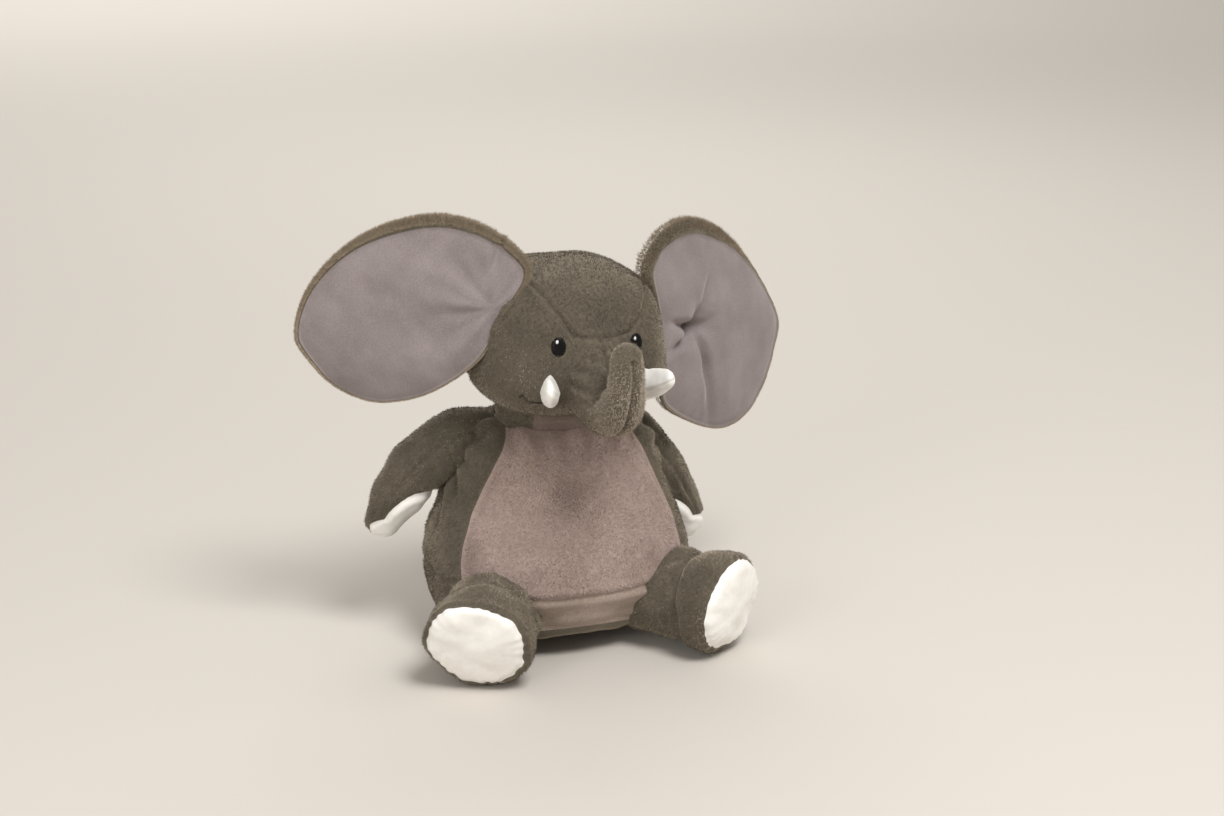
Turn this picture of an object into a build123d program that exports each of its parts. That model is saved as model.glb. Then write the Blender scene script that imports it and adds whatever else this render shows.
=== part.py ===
from build123d import *
import os
from math import cos, radians, sin

# A sitting stuffed elephant, in millimetres and degrees. It looks along -Y, its own left is +X,
# and the origin is the middle of the flat seat that it sits on. Every limb is a stuffed skin
# with a ball-shaped root, which lies in a matching hollow of the body it is sewn to.

# Cloth and filling
SKIN = 2.0            # thickness of a skin panel with its pile
SATIN = 1.2           # thickness of the thin white cloth of the tusks
FILLING_GAP = 0.2     # room between a skin and its filling
NECK_ROOM = 1.0       # room round the neck's ball in the torso and the head

# Torso: a pear, with a rounder belly half and back half that meet along the flanks
TORSO_OUTLINE = [(72, 0), (92, 20), (103, 45), (104, 62), (99, 82), (91, 105), (84, 125),
                 (75, 148), (63, 167), (48, 176)]      # (half width, height), from the seat to the neck
TORSO_HEIGHT = TORSO_OUTLINE[-1][1]
TORSO_AXIS_SHIFT = 25            # each half turns about an axis this far beyond the middle
BELLY_TOP_HALF = 44              # half width of the belly panel at its top edge
BELLY_WIDE_HALF = 87             # and at its widest, at BELLY_WIDE_Z
BELLY_WIDE_Z = 75
BELLY_LOWER_HALF = 85            # and along the seam with the lower belly panel
LOWER_SEAM_Z = 54                # between the belly panel and the lower belly panel
LOWER_BELLY_HALF = 44            # the hips take the rest of its width
SEAT_SEAM_Z = 9                  # between the upright panels and the seat panel
BACK_SEAM_Y = 28                 # between the side panels and the back panel

# Neck: a stuffed ball between torso and head
NECK_CENTRE = (0, -8, 177)
NECK_RADIUS = 38

# Head: a block with very round edges, turned and tilted a little on the neck
HEAD_CENTRE = (0, -22, 243)
HEAD_SIZE = (146, 144, 116)
HEAD_ROUNDING = 56
HEAD_DROP = 3                    # the block hangs this far below the head's centre
HEAD_TURN = 3                    # the face looks a little to its own left
HEAD_TILT = 3                    # and its own right ear is a little higher
CROWN_SEAM_Y = -21               # the seam from ear to ear, where it crosses mid-height
CROWN_SEAM_LEAN = 23             # and how far its top leans towards the face
GUSSET_BROW_HALF = 14            # half width of the forehead gusset at the brow
GUSSET_BROW_Z = 17
GUSSET_CROWN_HALF = 46           # and at the crown
GUSSET_CROWN_Z = 55

# Trunk: round sections, straight down and forward from the face and then up round a curl.
# Forward and up are counted from the head's centre.
TRUNK_STRAIGHT = [(50, -8.6, 27), (67, -18.4, 25.5)]           # (forward, up, radius)
TRUNK_CURL_CENTRE = (97, -8)
TRUNK_CURL_RADIUS = 24
TRUNK_CURL = [(-30, 22), (0, 19), (30, 16.5), (60, 14.5), (90, 13.2)]     # (direction, radius)
TRUNK_TIP = (121, 8, 12.5)

# Face
EYE_CENTRE = (30, 7)             # sideways and up from the head's centre
EYE_HALF_SIZE = (5.5, 8)
EYE_RELIEF = 1.2                 # how far the stitches stand out
FACE_GAP = 0.1                   # between the skin and what is sewn on it
TUSK_TRUNK_GAP = 0.3             # between a tusk and the trunk
HIGHLIGHT_OFFSET = (-1.5, 3)
HIGHLIGHT_HALF_SIZE = (1.3, 1.9)
MOUTH_START = (30, -40)          # the smile, from beside the trunk
MOUTH_MIDDLE = (44, -43)
MOUTH_END = (57, -34)            # to its corner
MOUTH_WIDTH = 1.6
TUSK_ROOT = (31, -64, -29)
TUSK_TIP = (47, -104, -16)
TUSK_ROOT_HALF_SIZE = (8.5, 13)
TUSK_TIP_RADIUS = 5.5

# Ears: flat pads. An outline is (outwards, up) from the middle of the ear's root.
EAR_ROOT = (66, -26, 5)
EAR_SWEEP = 28                   # how far the ear is swept back
EAR_THICKNESS = 7
EAR_LINING_THICKNESS = 1.5
EAR_BACK_THICKNESS = 2
EAR_POCKET_SHARE = 0.94          # size of the hollow inside the plush rim
EAR_LINING_SHARE = 0.93          # size of the lining and the wadding that fill it
EAR_MIDDLE = (60, 0)
EAR_HEAD_ROOM = 5                # room between the ear's root edge and the head
EAR_OUTLINE = {
    "right": [(-30, 52), (-6, 76), (32, 87), (74, 79), (120, 46), (146, -8), (119, -49), (82, -60),
              (42, -47), (12, -26)],
    "left": [(-28, 52), (-8, 77), (28, 82), (72, 63), (130, 10), (147, -26), (130, -82), (100, -92),
             (52, -60), (10, -30)],
}

# Arms: from the ball root in the shoulder to the paw
SHOULDER = (78, 12, 152)
ARM_OUTLINE = [(25, 0), (24, 30), (22.5, 62), (20, 90)]       # (radius, distance from the root)
ARM_LENGTH = 114
ARM_SPREAD = 52                            # from straight down
ARM_BACK = 10                              # swung back from straight out
PAW_PAD_START = 62
PAW_PAD_SIDE = 2
SHOULDER_HOLLOW = 40                       # wide enough for the upper arm as it swings

# Legs: from the ball root in the hip to the flat sole
HIP = (58, -50, 39.4)
LEG_ROOT_RADIUS = 32
LEG_OUTLINE = [(32, 0), (32, 24), (36, 42), (39, 58), (37.5, 72), (33, 82)]
LEG_SPLAY = 31
FOOT_BAND_START = 45
HIP_HOLLOW = 39                            # wide enough for the thigh as it swings

# Tail
TAIL_ROOT = (0, 88, 64)
TAIL_OUTLINE = [(5, 0), (4.2, 22), (3.6, 40), (7.5, 50)]
TAIL_LENGTH = 60
TAIL_LEAN = 28

BIG = 600                                  # larger than the whole toy, for cutting

SIDES = {"right": -1, "left": 1}


def write(node, shape):
    export_step(shape, f"parts/{node}.step")


def revolved(outline, start, end, inset=0):
    """A round form about Z: an outline of (radius, height) points, closed onto the axis at its ends.

    start is the radius of a ball root below height 0, or 0 for a flat bottom.
    end is the height of a rounded tip, or None for a flat top.
    """
    points = [(radius - inset, height) for radius, height in outline]
    if start:
        ball = start - inset
        bottom = ThreePointArc((0, -ball), (ball * sin(radians(45)), -ball * cos(radians(45))), (ball, 0))
    else:
        points[0] = (points[0][0], inset)
        bottom = Line((0, inset), points[0])
    if end:
        side = Spline(*points, (0, end - inset), tangents=((0, 1), (-1, 0)))
        edges = [bottom, side]
        top = end - inset
    else:
        top = points[-1][1] - inset
        points[-1] = (points[-1][0], top)
        side = Spline(*points)
        edges = [bottom, side, Line(points[-1], (0, top))]
    foot = -start + inset if start else inset
    edges.append(Line((0, top), (0, foot)))
    face = make_face(Plane.XZ * Curve(edges))
    return revolve(face, Axis.Z, 360)


def slab(low, high):
    """Everything between two heights."""
    return Pos(0, 0, (low + high) / 2) * Box(BIG, BIG, high - low)


def behind(y):
    return Pos(0, y + BIG / 2, 0) * Box(BIG, BIG, BIG)


def torso_form(inset=0):
    outline = [((half_width ** 2 + TORSO_AXIS_SHIFT ** 2) ** 0.5, height)
               for half_width, height in TORSO_OUTLINE]
    round_form = revolved(outline, 0, None, inset)
    front = Pos(0, TORSO_AXIS_SHIFT, 0) * round_form - behind(0)
    back = (Pos(0, -TORSO_AXIS_SHIFT, 0) * round_form) & behind(0)
    return front + back


def beside(side):
    return Pos(SIDES[side] * BIG / 2, 0, 0) * Box(BIG, BIG, BIG)


def front_wedge(corners, depth=BIG):
    """A prism forwards from the middle, from the (x, z) corners of its +X edge and their mirror image."""
    mirrored = [(-x, z) for x, z in reversed(corners)]
    face = make_face(Plane.XZ * Polyline(*corners, *mirrored, close=True))
    return extrude(face, depth)


# ---- Places of the limbs ----

head_place = Pos(*HEAD_CENTRE) * Rot(0, 0, HEAD_TURN) * Rot(0, HEAD_TILT, 0)


def arm_place(side):
    spread = radians(ARM_SPREAD)
    back = radians(ARM_BACK)
    out = SIDES[side] * sin(spread) * cos(back)
    direction = Vector(out, sin(spread) * sin(back), -cos(spread))
    pad_facing = Vector(-SIDES[side], -0.7, -1.1)
    shoulder = Vector(SIDES[side] * SHOULDER[0], SHOULDER[1], SHOULDER[2])
    return Plane(origin=shoulder, x_dir=pad_facing - direction * pad_facing.dot(direction),
                 z_dir=direction).location


def leg_place(side):
    splay = radians(LEG_SPLAY)
    direction = Vector(SIDES[side] * sin(splay), -cos(splay), 0)
    hip = Vector(SIDES[side] * HIP[0], HIP[1], HIP[2])
    return Plane(origin=hip, x_dir=(0, 0, 1), z_dir=direction).location


def ear_place(side):
    """The ear's frame: X outwards, Y up, Z towards the front."""
    sweep = radians(EAR_SWEEP)
    outwards = Vector(SIDES[side] * cos(sweep), sin(sweep), 0)
    front = Vector(SIDES[side] * sin(sweep), -cos(sweep), 0)
    root = Vector(SIDES[side] * EAR_ROOT[0], EAR_ROOT[1], EAR_ROOT[2])
    return head_place * Plane(origin=root, x_dir=outwards, z_dir=front).location


tail_place = Pos(*TAIL_ROOT) * Rot(180 + TAIL_LEAN, 0, 0)


# ---- Torso ----

def torso_hollows():
    hollows = Pos(*NECK_CENTRE) * Sphere(NECK_RADIUS + NECK_ROOM)
    for side in SIDES:
        hollows += arm_place(side) * Sphere(SHOULDER_HOLLOW)
        hollows += leg_place(side) * Sphere(HIP_HOLLOW)
    return hollows


def make_torso():
    hollows = torso_hollows()
    skin = torso_form() - torso_form(SKIN)
    seat = slab(-1, SEAT_SEAM_Z)
    slope = (BELLY_WIDE_HALF - BELLY_TOP_HALF) / (TORSO_HEIGHT - BELLY_WIDE_Z)
    top_half = BELLY_TOP_HALF - slope
    belly = front_wedge([(BELLY_LOWER_HALF, LOWER_SEAM_Z), (BELLY_WIDE_HALF, BELLY_WIDE_Z),
                         (top_half, TORSO_HEIGHT + 1)])
    lower_belly = front_wedge([(LOWER_BELLY_HALF, SEAT_SEAM_Z), (LOWER_BELLY_HALF, LOWER_SEAM_Z)])
    back = behind(BACK_SEAM_Y) & slab(SEAT_SEAM_Z, BIG)
    write("seat_panel", (skin & seat) - hollows)
    write("belly_panel", (skin & belly) - hollows)
    write("lower_belly_panel", (skin & lower_belly) - hollows)
    write("back_panel", (skin & back) - hollows)
    sides = (skin & slab(SEAT_SEAM_Z, BIG)) - belly - lower_belly - back - hollows
    for side in SIDES:
        write(f"side_panel_{side}", sides & beside(side))
    write("torso_filling", torso_form(SKIN + FILLING_GAP) - hollows)


# ---- Neck ----

def make_neck():
    ball = Pos(*NECK_CENTRE) * Sphere(NECK_RADIUS)
    core = Pos(*NECK_CENTRE) * Sphere(NECK_RADIUS - SKIN)
    write("neck_skin", ball - core)
    write("neck_filling", Pos(*NECK_CENTRE) * Sphere(NECK_RADIUS - SKIN - FILLING_GAP))


# ---- Head ----

def head_block(grow=0):
    """The round block of the head in its own frame."""
    length, depth, height = (size + 2 * grow for size in HEAD_SIZE)
    block = Box(length, depth, height)
    return Pos(0, 0, -HEAD_DROP) * fillet(block.edges(), HEAD_ROUNDING + grow)


def trunk_section(forward, up, radius, direction):
    along = Vector(0, -cos(radians(direction)), sin(radians(direction)))
    return Plane(origin=(0, -forward, up), x_dir=(1, 0, 0), z_dir=along) * Circle(radius)


def trunk_form(inset=0):
    """The curled trunk in the head's own frame, with a ball root and a ball tip."""
    start_direction = TRUNK_CURL[0][0]
    end_direction = TRUNK_CURL[-1][0]
    sections = [trunk_section(forward, up, radius - inset, start_direction)
                for forward, up, radius in TRUNK_STRAIGHT]
    for direction, radius in TRUNK_CURL:
        forward = TRUNK_CURL_CENTRE[0] + TRUNK_CURL_RADIUS * sin(radians(direction))
        up = TRUNK_CURL_CENTRE[1] - TRUNK_CURL_RADIUS * cos(radians(direction))
        sections.append(trunk_section(forward, up, radius - inset, direction))
    tip_forward, tip_up, tip_radius = TRUNK_TIP
    sections.append(trunk_section(tip_forward, tip_up, tip_radius - inset, end_direction))
    root_forward, root_up, root_radius = TRUNK_STRAIGHT[0]
    root = Pos(0, -root_forward, root_up) * Sphere(root_radius - inset)
    tip = Pos(0, -tip_forward, tip_up) * Sphere(tip_radius - inset)
    return loft(sections, ruled=True) + root + tip


def head_form(inset=0):
    return head_block(-inset) + trunk_form(inset)


def behind_crown_seam():
    return Pos(0, CROWN_SEAM_Y, 0) * Rot(CROWN_SEAM_LEAN, 0, 0) * Pos(0, BIG / 2, 0) * Box(BIG, BIG, BIG)


def stitched(outline_face, low, high):
    """Stitches on the face: an outline seen from the front, between two heights above the skin."""
    layer = head_block(high) - head_block(low)
    prism = extrude(Plane.XZ * outline_face, HEAD_SIZE[1])
    return layer & prism


def tusk_form(side, inset=0):
    root = Vector(SIDES[side] * TUSK_ROOT[0], TUSK_ROOT[1], TUSK_ROOT[2])
    tip = Vector(SIDES[side] * TUSK_TIP[0], TUSK_TIP[1], TUSK_TIP[2])
    axis = tip - root
    wide, tall = TUSK_ROOT_HALF_SIZE
    base = Plane(origin=root, x_dir=(SIDES[side], 0, 0), z_dir=axis) * Ellipse(wide - inset, tall - inset)
    end = Plane(origin=tip, x_dir=(SIDES[side], 0, 0), z_dir=axis) * Circle(TUSK_TIP_RADIUS - inset)
    return loft([base, end]) + Pos(*tip) * Sphere(TUSK_TIP_RADIUS - inset)


def make_head():
    neck_hollow = head_place.inverse() * Pos(*NECK_CENTRE) * Sphere(NECK_RADIUS + NECK_ROOM)
    skin = head_form() - head_form(SKIN) - neck_hollow
    crown = behind_crown_seam()
    gusset = front_wedge([(GUSSET_BROW_HALF, GUSSET_BROW_Z), (GUSSET_CROWN_HALF, GUSSET_CROWN_Z),
                          (GUSSET_CROWN_HALF, BIG / 2)], HEAD_SIZE[1] / 2 + 1)
    front = skin - crown
    write("head_back_panel", head_place * (skin & crown))
    write("forehead_gusset", head_place * (front & gusset))
    face = front - gusset
    for side in SIDES:
        write(f"face_panel_{side}", head_place * (face & beside(side)))
    write("head_filling", head_place * (head_form(SKIN + FILLING_GAP) - neck_hollow))

    highlights = []
    smiles = []
    for side, sign in SIDES.items():
        eye = Pos(sign * EYE_CENTRE[0], EYE_CENTRE[1]) * Ellipse(*EYE_HALF_SIZE)
        write(f"eye_{side}", head_place * stitched(eye, FACE_GAP, EYE_RELIEF))
        spot = Pos(sign * EYE_CENTRE[0] + HIGHLIGHT_OFFSET[0], EYE_CENTRE[1] + HIGHLIGHT_OFFSET[1])
        glint = spot * Ellipse(*HIGHLIGHT_HALF_SIZE)
        highlights += stitched(glint, EYE_RELIEF + FACE_GAP, 2 * EYE_RELIEF).solids()
        line = ThreePointArc(*[(sign * x, z) for x, z in (MOUTH_START, MOUTH_MIDDLE, MOUTH_END)])
        smiles += stitched(trace(line, MOUTH_WIDTH), FACE_GAP, EYE_RELIEF).solids()
    write("eye_highlights", head_place * Compound(highlights))
    write("mouth_stitches", head_place * Compound(smiles))

    fillings = []
    for side in SIDES:
        tusk = tusk_form(side) - head_block(FACE_GAP) - trunk_form(-TUSK_TRUNK_GAP)
        filling = tusk_form(side, SATIN + FILLING_GAP) - head_block(FACE_GAP + SATIN) - trunk_form(-TUSK_TRUNK_GAP)
        write(f"tusk_{side}", head_place * (tusk - tusk_form(side, SATIN)))
        fillings += filling.solids()
    write("tusk_fillings", head_place * Compound(fillings))


# ---- Ears ----

def ear_layer(side, low, high, share=1.0):
    """The ear's outline, shrunk about its middle, between two depths behind its front face."""
    middle_out, middle_up = EAR_MIDDLE
    points = [(middle_out + (out - middle_out) * share, middle_up + (up - middle_up) * share)
              for out, up in EAR_OUTLINE[side]]
    if side == "right":
        points = [(out, -up) for out, up in points]
    outline = make_face(Spline(*points, periodic=True))
    return Pos(0, 0, EAR_THICKNESS / 2 - high) * extrude(outline, high - low)


def make_ear(side):
    place = ear_place(side)
    head_room = head_place * head_block(EAR_HEAD_ROOM)
    back_start = EAR_THICKNESS - EAR_BACK_THICKNESS
    whole = ear_layer(side, 0, EAR_THICKNESS)
    pocket = ear_layer(side, 0, back_start, EAR_POCKET_SHARE)
    lining = ear_layer(side, 0, EAR_LINING_THICKNESS, EAR_LINING_SHARE)
    wadding = ear_layer(side, EAR_LINING_THICKNESS, back_start - FILLING_GAP, EAR_LINING_SHARE)
    write(f"ear_plush_{side}", place * (whole - pocket) - head_room)
    write(f"ear_lining_{side}", place * lining - head_room)
    write(f"ear_wadding_{side}", place * wadding - head_room)


# ---- Arms, legs and tail, each made upright about Z and then put in place ----

def arm_form(inset=0):
    return revolved(ARM_OUTLINE, ARM_OUTLINE[0][0], ARM_LENGTH, inset)


def make_arm(side):
    place = arm_place(side)
    skin = arm_form() - arm_form(SKIN)
    pad_region = Pos(PAW_PAD_SIDE + BIG / 2, 0, PAW_PAD_START + BIG / 2) * Box(BIG, BIG, BIG)
    write(f"arm_skin_{side}", place * (skin - pad_region))
    write(f"paw_pad_{side}", place * (skin & pad_region))
    write(f"arm_filling_{side}", place * arm_form(SKIN + FILLING_GAP))


def leg_form(inset=0):
    return revolved(LEG_OUTLINE, LEG_ROOT_RADIUS, None, inset)


def make_leg(side):
    place = leg_place(side)
    sole = LEG_OUTLINE[-1][1]
    skin = leg_form() - leg_form(SKIN)
    write(f"leg_skin_{side}", place * (skin & slab(-BIG / 2, FOOT_BAND_START)))
    write(f"foot_band_{side}", place * (skin & slab(FOOT_BAND_START, sole - SKIN)))
    write(f"foot_pad_{side}", place * (skin & slab(sole - SKIN, BIG)))
    write(f"leg_filling_{side}", place * leg_form(SKIN + FILLING_GAP))


def make_tail():
    write("tail", tail_place * revolved(TAIL_OUTLINE, TAIL_OUTLINE[0][0], TAIL_LENGTH))


os.makedirs("parts", exist_ok=True)
make_torso()
make_neck()
make_head()
for side in SIDES:
    make_ear(side)
    make_arm(side)
    make_leg(side)
make_tail()
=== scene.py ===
import math

import bpy
import numpy as np
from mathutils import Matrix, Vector
from mathutils.bvhtree import BVHTree
from mathutils.kdtree import KDTree


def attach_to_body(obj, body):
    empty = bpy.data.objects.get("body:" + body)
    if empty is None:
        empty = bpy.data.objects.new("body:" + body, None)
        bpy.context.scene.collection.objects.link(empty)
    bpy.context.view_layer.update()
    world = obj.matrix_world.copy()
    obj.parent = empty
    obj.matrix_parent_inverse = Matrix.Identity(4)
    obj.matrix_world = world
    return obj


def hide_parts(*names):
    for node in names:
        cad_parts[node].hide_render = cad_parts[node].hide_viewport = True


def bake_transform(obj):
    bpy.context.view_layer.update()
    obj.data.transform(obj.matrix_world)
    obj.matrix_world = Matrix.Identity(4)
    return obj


# The looks of a sitting stuffed elephant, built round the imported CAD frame. Shapes are worked out in
# millimetres and turned into metres where a piece is made. Each stuffed body is one smooth form, drawn
# as the surface where a field crosses zero, then creased at its seams and cut along them into panels.

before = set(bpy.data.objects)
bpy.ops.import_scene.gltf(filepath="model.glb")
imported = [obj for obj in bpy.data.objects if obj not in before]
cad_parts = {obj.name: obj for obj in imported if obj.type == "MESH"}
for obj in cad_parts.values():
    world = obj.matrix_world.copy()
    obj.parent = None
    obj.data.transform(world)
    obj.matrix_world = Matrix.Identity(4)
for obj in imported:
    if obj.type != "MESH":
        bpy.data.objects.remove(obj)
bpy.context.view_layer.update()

MM = 0.001
SIDES = {"right": -1, "left": 1}
UP = np.array((0.0, 0, 1))
CLOTH_GAP = 0.3  # the lowest that a cloth comes to the floor
BLADE_GAP = 0.2  # and a blade of its pile

# The surface of each body is found on a grid that fills its box at its step
HEAD_BOX, HEAD_STEP = ((-88, -144, -74), (88, 82, 74)), 1.6
TORSO_BOX, TORSO_STEP = ((-112, -92, -3), (112, 92, 184)), 2.2
NECK_BOX = ((-56, -58, 120), (56, 34, 238))
LEG_BOX, LIMB_STEP = ((-44, -44, -46), (44, 44, 100)), 1.8
TAIL_STEP = 1.2

# Seams: how deep and how wide the valley is
CROWN_CREASE = (2.0, 2.6)
GUSSET_CREASE = (1.9, 1.6)
BELLY_CREASE = (2.6, 2.8)
LOWER_CREASE = (2.2, 2.4)
SEAT_CREASE = (1.6, 2.6)
BACK_CREASE = (1.3, 2.6)
PAW_CREASE = (1.8, 2.2)
ARM_CREASE = (1.3, 1.8)
SOLE_CREASE = (1.7, 2.4)
BAND_CREASE = (2.8, 2.6)

# Head, in its own frame
HEAD_CENTRE = (0, -22, 243)
HEAD_HALF_SIZE = (68.5, 72, 56.2)
HEAD_DROP = -0.8
HEAD_ROUNDNESS = 3.1  # 2 is an egg, more is squarer
HEAD_BACK_SLOPE = (-0.2, 0.10)  # its underside rises and its crown falls towards the back
HEAD_NARROWING = 0.0027  # share by which it narrows for each millimetre up
HEAD_TURN = 3
HEAD_TILT = 3
TRUNK_BLEND = 13  # how softly the trunk runs into the face
CROWN_SEAM_Y = -21
CROWN_SEAM_BACK = (0.9, 0.72)  # how fast it runs back below and above the ear
GUSSET_BROW_HALF = 21
GUSSET_BROW_Z = 13
GUSSET_SLOPE = 0.72
GUSSET_SHIFT = 3  # it was sewn a little to the toy's left
# Trunk: (x, y, z, radius) from the face to its tip
TRUNK = [(0, -44, -6, 31), (0, -60, -14, 29), (0, -76, -24, 25.5), (0, -90, -31, 21.5), (0, -105, -33, 18),
         (0, -117, -28, 15.5), (0, -124, -15, 13.5), (0, -126, 0, 12.5), (0, -124, 11, 11.5)]
FINGER_START = 4  # the station where the upturned end begins
EYE_CENTRE = (30, 7)
EYE_HALF_SIZE = (5.3, 7.3)
EYE_TILT = 6
GLINT_CENTRE = (-1.3, 3.3)
GLINT_HALF_SIZE = (1.05, 1.5)
SMILE = [(30, -35), (38, -36), (46, -35.5), (50, -33), (51.5, -29), (53, -32)]
STITCH_REACH = 1.15  # each stitch runs a little past the start of the next
STITCH_RADII = (0.55, 0.85, 0.55)
TUSK_ROOT = (31, -60, -29)
TUSK_TIP = {"right": (47, -100, -16), "left": (48, -100, -12)}
TUSK_SAG = 3.0
TUSK_TAPER = 0.34
TUSK_HALF_WIDTH = 6.7
TUSK_HALF_HEIGHT = (10, 16)  # below and above its middle line

# Torso: (half width, height)
TORSO_OUTLINE = [(46, 0), (72, 4), (86, 14), (95, 30), (101, 46), (103, 60), (101, 76), (95, 92), (88, 110),
                 (80, 130), (75, 150), (67, 166), (58, 180)]
TORSO_TOP = 178
TORSO_TOP_SLOPE = 0.15  # it falls towards the back
TORSO_DEPTH_SHARE = 0.79
TORSO_ROUNDNESS = 2.25
UNDERSIDE_SLOPE = 0.3  # the front of the seat is lifted by the legs
BELLY_EDGE = [(83, 45), (87, 60), (87, 75), (83.5, 90), (76.5, 110), (67.5, 130), (58.5, 150), (50, 165),
              (42, 180)]
LOWER_SEAM_Z = 53
SEAT_SEAM_Z = 8
BACK_SEAM_Y = 28
SHOULDER = (72, 10, 150)
THIGH_TOP = (70, -52, 42)

# Neck: (x, y, z, radius)
NECK = [(0, -6, 160, 35), (0, -10, 178, 36), (0, -14, 196, 37)]
NECK_DEPTH_SHARE = 0.74
THROAT_HALF = 29

# Arms: (x, y, z, radius) from the shoulder to the paw
ARM = {
    "right": [(-56, 10, 158, 22), (-72, 11, 159, 23), (-91, 14, 148, 22.5), (-108, 18, 131, 21.5),
              (-121, 22, 111, 19.5), (-128, 26, 94, 14.5)],
    "left": [(50, 12, 154, 22), (64, 13, 144, 24), (80, 17, 124, 24), (96, 22, 101, 22.5),
             (107, 27, 82, 21), (114, 30, 68, 18.5)],
}
PAW_PAD_FACING = (-1, -0.9, -1.5)
PAW_PAD_HALF_LENGTH = 40
PAW_PAD_HALF_ANGLE = 74
ARM_SEAM_ANGLE = 86
ARM_GIRTH = 21

# Legs
HIP = {"right": (-59, -42, 39.5), "left": (61, -38, 40.5)}
LEG_SPLAY = {"right": 28, "left": 37}
# (radius, distance from the hip)
LEG_OUTLINE = [(33, -20), (36, 5), (35.5, 25), (32.5, 43), (37.5, 51), (39.8, 60), (39.4, 70), (37, 84)]
FOOT_BAND_START = 45
SOLE = 79
SOLE_DOME, SOLE_DOME_RADIUS = 4.5, 34
SOLE_TILT = {"right": 0.34, "left": 0.12}  # its top leans out by this share of the height
SOLE_PAD_RADIUS = 36

# Ears, in a frame whose X is outwards and Y is up, from a root on the side of the head
EAR_ROOT = (66, -26, 5)
EAR_SWEEP = 29
EAR_OUTLINE = {
    "right": [(-30, 51), (-18, 67), (0, 78), (21, 85), (44, 87), (74, 79), (100, 65), (121, 46), (137, 24),
              (145, 4), (147, -14), (141, -24), (119, -50), (88, -60), (62, -55), (41, -46), (18, -29),
              (2, -12), (-6, 8), (-18, 30)],
    "left": [(-28, 51), (-13, 74), (6, 81), (24, 82), (55, 74), (96, 49), (139, 7), (155, -13), (157, -31),
             (151, -60), (138, -86), (120, -97), (101, -99), (75, -93), (38, -77), (12, -62), (2, -40),
             (-4, -18), (-10, 10), (-20, 32)],
}
EAR_MIDDLE = (62, 8)
EAR_HALF_THICKNESS = 4.5
EAR_AROUND, EAR_RINGS = 220, 34
# The plush folds over to the front as a rim: bearing in degrees of its widest place, and its width there
EAR_RIM = {"right": (100, 8.5), "left": (132, 14)}
EAR_RIM_LEAST = 1.2
EAR_RIM_SPREAD = 62
# How fast the ear curls back below its middle
EAR_CURL = {"right": 0.0034, "left": 0.0009}
# The left ear is pinched here, with folds that run out: (outwards, up, length, depth)
PINCH = (50, -8)
PINCH_FOLDS = [(-1, 0.28, 40, 9), (-1, -0.34, 40, 9), (0.35, -1, 75, 7), (0.1, 1, 45, 4.5)]
FRINGE_COUNT = 24000
FRINGE_LENGTH = 4.2
FRINGE_HALF_WIDTH = 0.22

# Tail: (x, y, z, radius)
TAIL = [(0, 78, 66, 5), (0, 90, 62, 5), (0, 97, 50, 4.4), (0, 102, 36, 4), (0, 105, 22, 5.6), (0, 106, 14, 7)]

# Lamps: (place, the point it faces, width, power), in metres and watts
LAMPS = {
    "key": ((0.3, -1.35, 2.2), (0, 0, 0.15), 1.0, 50),
    "front": ((-1.7, -1.5, 0.9), (0, 0, 0.12), 1.0, 13),
    "rim": ((0.6, 1.7, 1.7), (0, 0, 0.2), 1.6, 15),
    "backdrop": ((0.2, 4.4, 2.8), (0.8, 5.6, 0), 3.5, 104),
}
FLOOR_COLOUR = (0.60, 0.560, 0.508)
WORLD_COLOUR, WORLD_STRENGTH = (1.0, 0.965, 0.92), 0.47
CAMERA_PLACE = (-0.503, -1.595, 0.688)
CAMERA_DIRECTION = (0.31134, 0.90420, -0.29237)
CAMERA_LENS = 67.76


# ---- Fields and surfaces ----

def turn(axis, degrees):
    """3x3 matrix of a turn about X, Y or Z."""
    c, s = math.cos(math.radians(degrees)), math.sin(math.radians(degrees))
    u, v = [(1, 2), (2, 0), (0, 1)]["XYZ".index(axis)]
    matrix = np.eye(3)
    matrix[u, u], matrix[u, v], matrix[v, u], matrix[v, v] = c, -s, s, c
    return matrix


def unit(vector):
    return np.array(vector, float) / np.linalg.norm(vector)


def lengths(rows):
    return np.linalg.norm(rows, axis=1)


def units(rows):
    """Each row brought to length 1."""
    return rows / np.maximum(lengths(rows), 1e-9)[:, None]


def flattened(rows, directions):
    """Each row less its part along the direction of the same number."""
    return rows - (rows * directions).sum(1)[:, None] * directions


def smooth_min(a, b, reach):
    """The lower of two fields, rounded where they meet."""
    h = np.clip(0.5 + 0.5 * (b - a) / reach, 0, 1)
    return b + (a - b) * h - reach * h * (1 - h)


def smooth_max(a, b, reach):
    return -smooth_min(-a, -b, reach)


def chain_field(stations, x, y, z):
    """Distance outside a tube along stations of (x, y, z, radius)."""
    best = np.full(np.shape(x), 1e6)
    for (*a, ra), (*b, rb) in zip(stations, stations[1:]):
        dx, dy, dz = b[0] - a[0], b[1] - a[1], b[2] - a[2]
        t = ((x - a[0]) * dx + (y - a[1]) * dy + (z - a[2]) * dz) / (dx * dx + dy * dy + dz * dz)
        t = np.clip(t, 0, 1)
        away = np.sqrt((x - a[0] - t * dx) ** 2 + (y - a[1] - t * dy) ** 2 + (z - a[2] - t * dz) ** 2)
        best = np.minimum(best, away - ra - t * (rb - ra))
    return best


def rounded(stations):
    """A chain with its corners cut, so that the tube bends smoothly."""
    line = np.array(stations, float)
    for _ in range(2):
        low = 0.75 * line[:-1] + 0.25 * line[1:]
        high = 0.25 * line[:-1] + 0.75 * line[1:]
        line = np.vstack([line[:1], np.stack([low, high], 1).reshape(-1, line.shape[1]), line[-1:]])
    return line


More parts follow.
